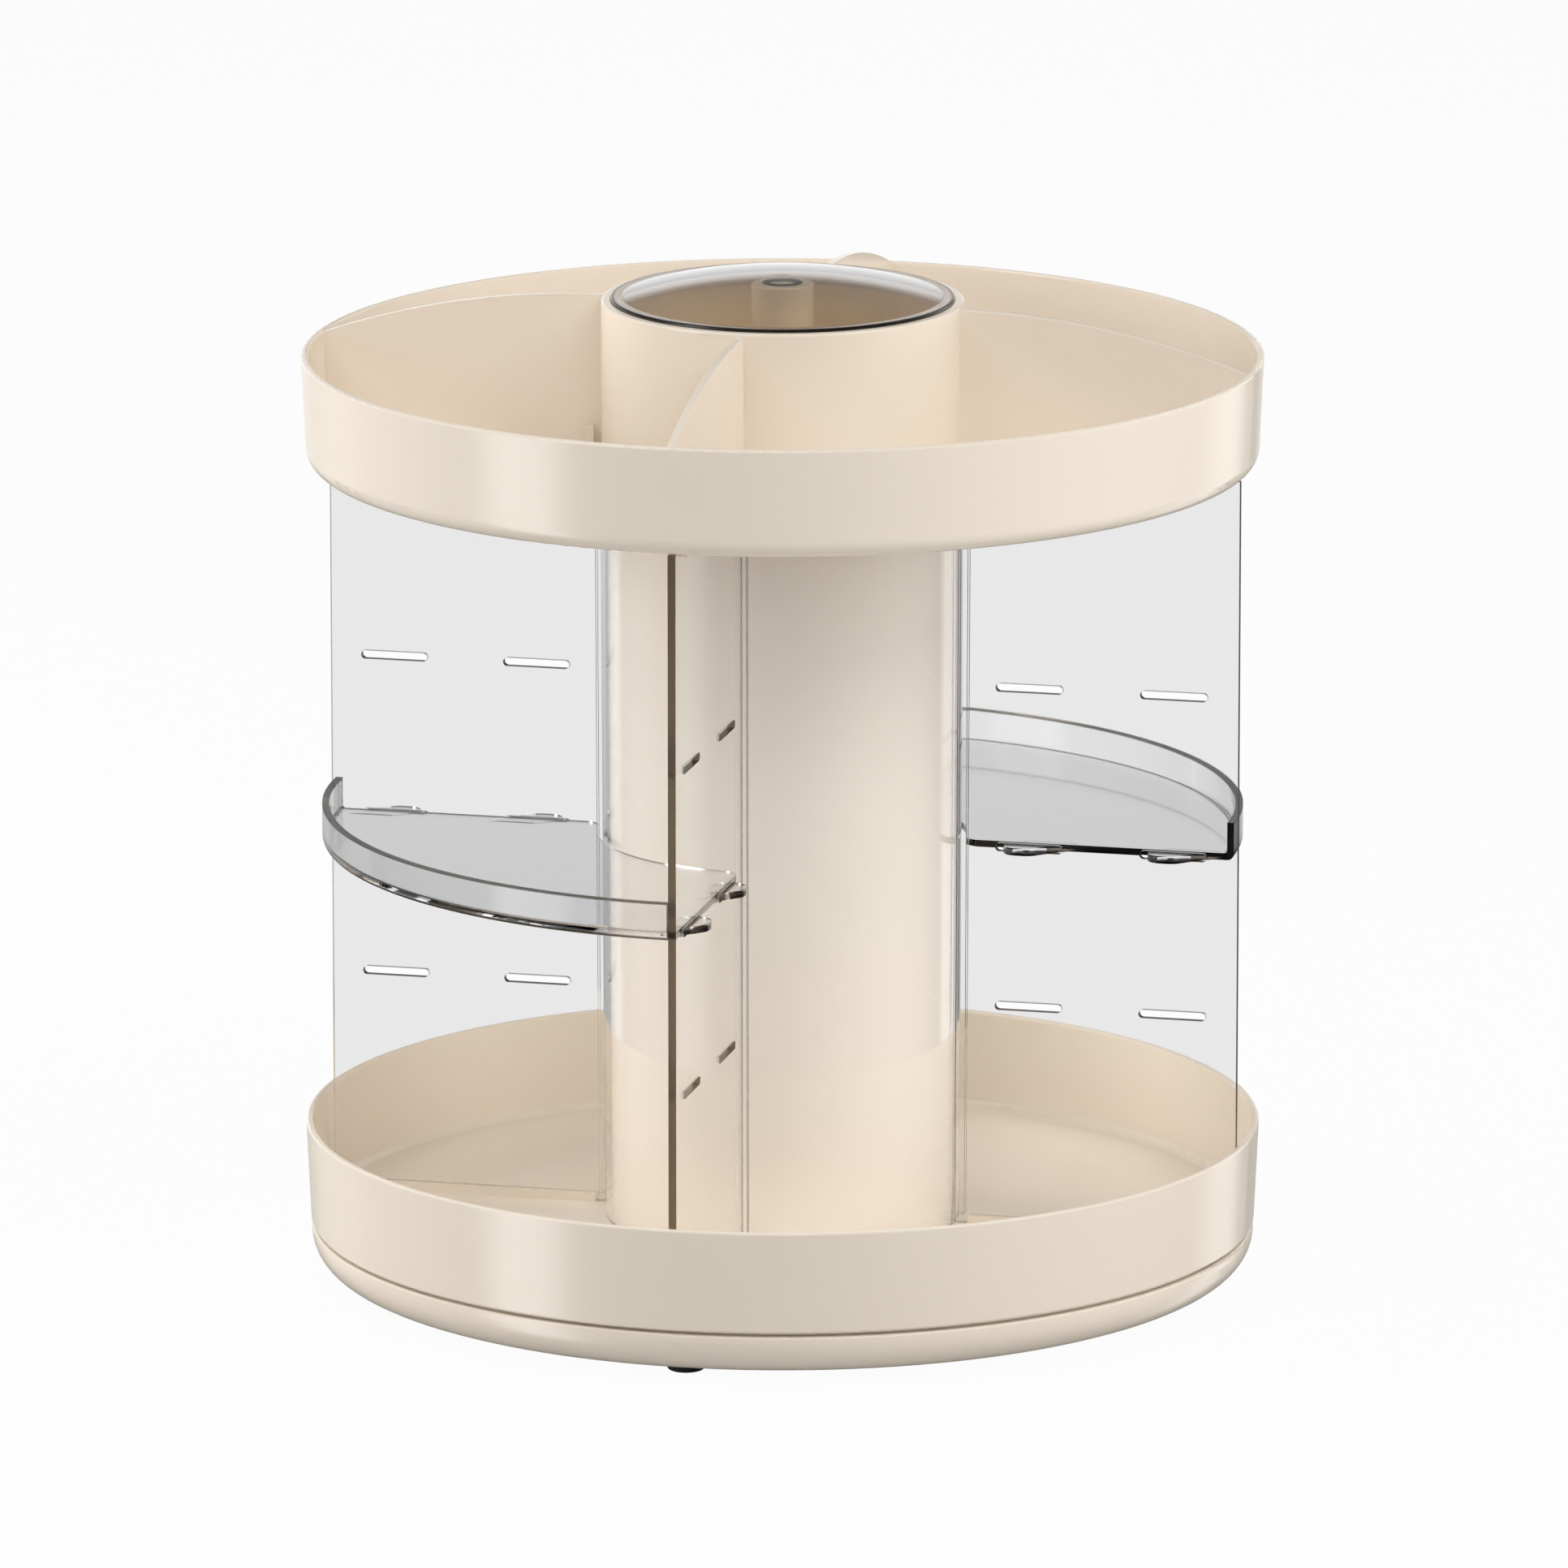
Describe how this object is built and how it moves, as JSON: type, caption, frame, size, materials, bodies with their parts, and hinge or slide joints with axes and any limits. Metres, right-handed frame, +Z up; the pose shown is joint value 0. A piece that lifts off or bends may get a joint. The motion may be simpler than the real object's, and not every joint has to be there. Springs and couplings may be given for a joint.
{
  "type": "rotating makeup organizer",
  "caption": "Round cosmetics turntable: open cream trays above and below a central column, clear slotted panels with hook-in quarter shelves, and a clear domed lid.",
  "frame": {"origin": "on the table under the turning axis, at the underside of the feet", "axes": "+Z up along the turning axis; the clear panels and the arched dividers lie along X and Y"},
  "size_m": [0.28, 0.28, 0.2975],
  "materials": {
    "cream_plastic": "satin moulded",
    "clear_plastic": "clear moulded",
    "lid_plastic": "clear moulded",
    "foot_rubber": "matt",
    "steel": "bright zinc",
    "bearing_plastic": "natural acetal"
  },
  "bodies": {
    "base": {"base_shell": "cream_plastic", "foot_front": "foot_rubber", "foot_right": "foot_rubber", "foot_back": "foot_rubber", "foot_left": "foot_rubber", "pivot_bush": "bearing_plastic"},
    "bearing": {"ball_cage": "bearing_plastic", "bearing_balls": "steel"},
    "carousel": {"lower_tray": "cream_plastic", "hub_plate": "bearing_plastic", "pivot_washer": "steel", "tie_screw": "steel", "column": "cream_plastic", "column_sleeve": "clear_plastic", "tie_post": "cream_plastic", "post_plug": "cream_plastic", "upper_tray": "cream_plastic", "panel_front": "clear_plastic", "panel_right": "clear_plastic", "panel_back": "clear_plastic", "panel_left": "clear_plastic"},
    "lid": {"lid": "lid_plastic"},
    "shelf_front_left": {"shelf_front_left": "clear_plastic"},
    "shelf_back_right": {"shelf_back_right": "clear_plastic"}
  },
  "joints": [
    {"name": "carousel_spin", "type": "hinge", "parent": "base", "child": "carousel", "pos_m": [0, 0, 0], "axis": [0, 0, 1], "continuous": true},
    {"name": "cage_spin", "type": "hinge", "parent": "base", "child": "bearing", "pos_m": [0, 0, 0], "axis": [0, 0, 1], "continuous": true},
    {"name": "lid_lift", "type": "slide", "parent": "carousel", "child": "lid", "axis": [0, 0, 1], "range_m": [0, 0.06]},
    {"name": "shelf_front_left_pull", "type": "slide", "parent": "carousel", "child": "shelf_front_left", "axis": [-0.7071, -0.7071, 0], "range_m": [0, 0.13]},
    {"name": "shelf_back_right_pull", "type": "slide", "parent": "carousel", "child": "shelf_back_right", "axis": [0.7071, 0.7071, 0], "range_m": [0, 0.13]}
  ],
  "couplings": [
    {"joint": "cage_spin", "follows": "carousel_spin", "ratio": 0.5}
  ]
}
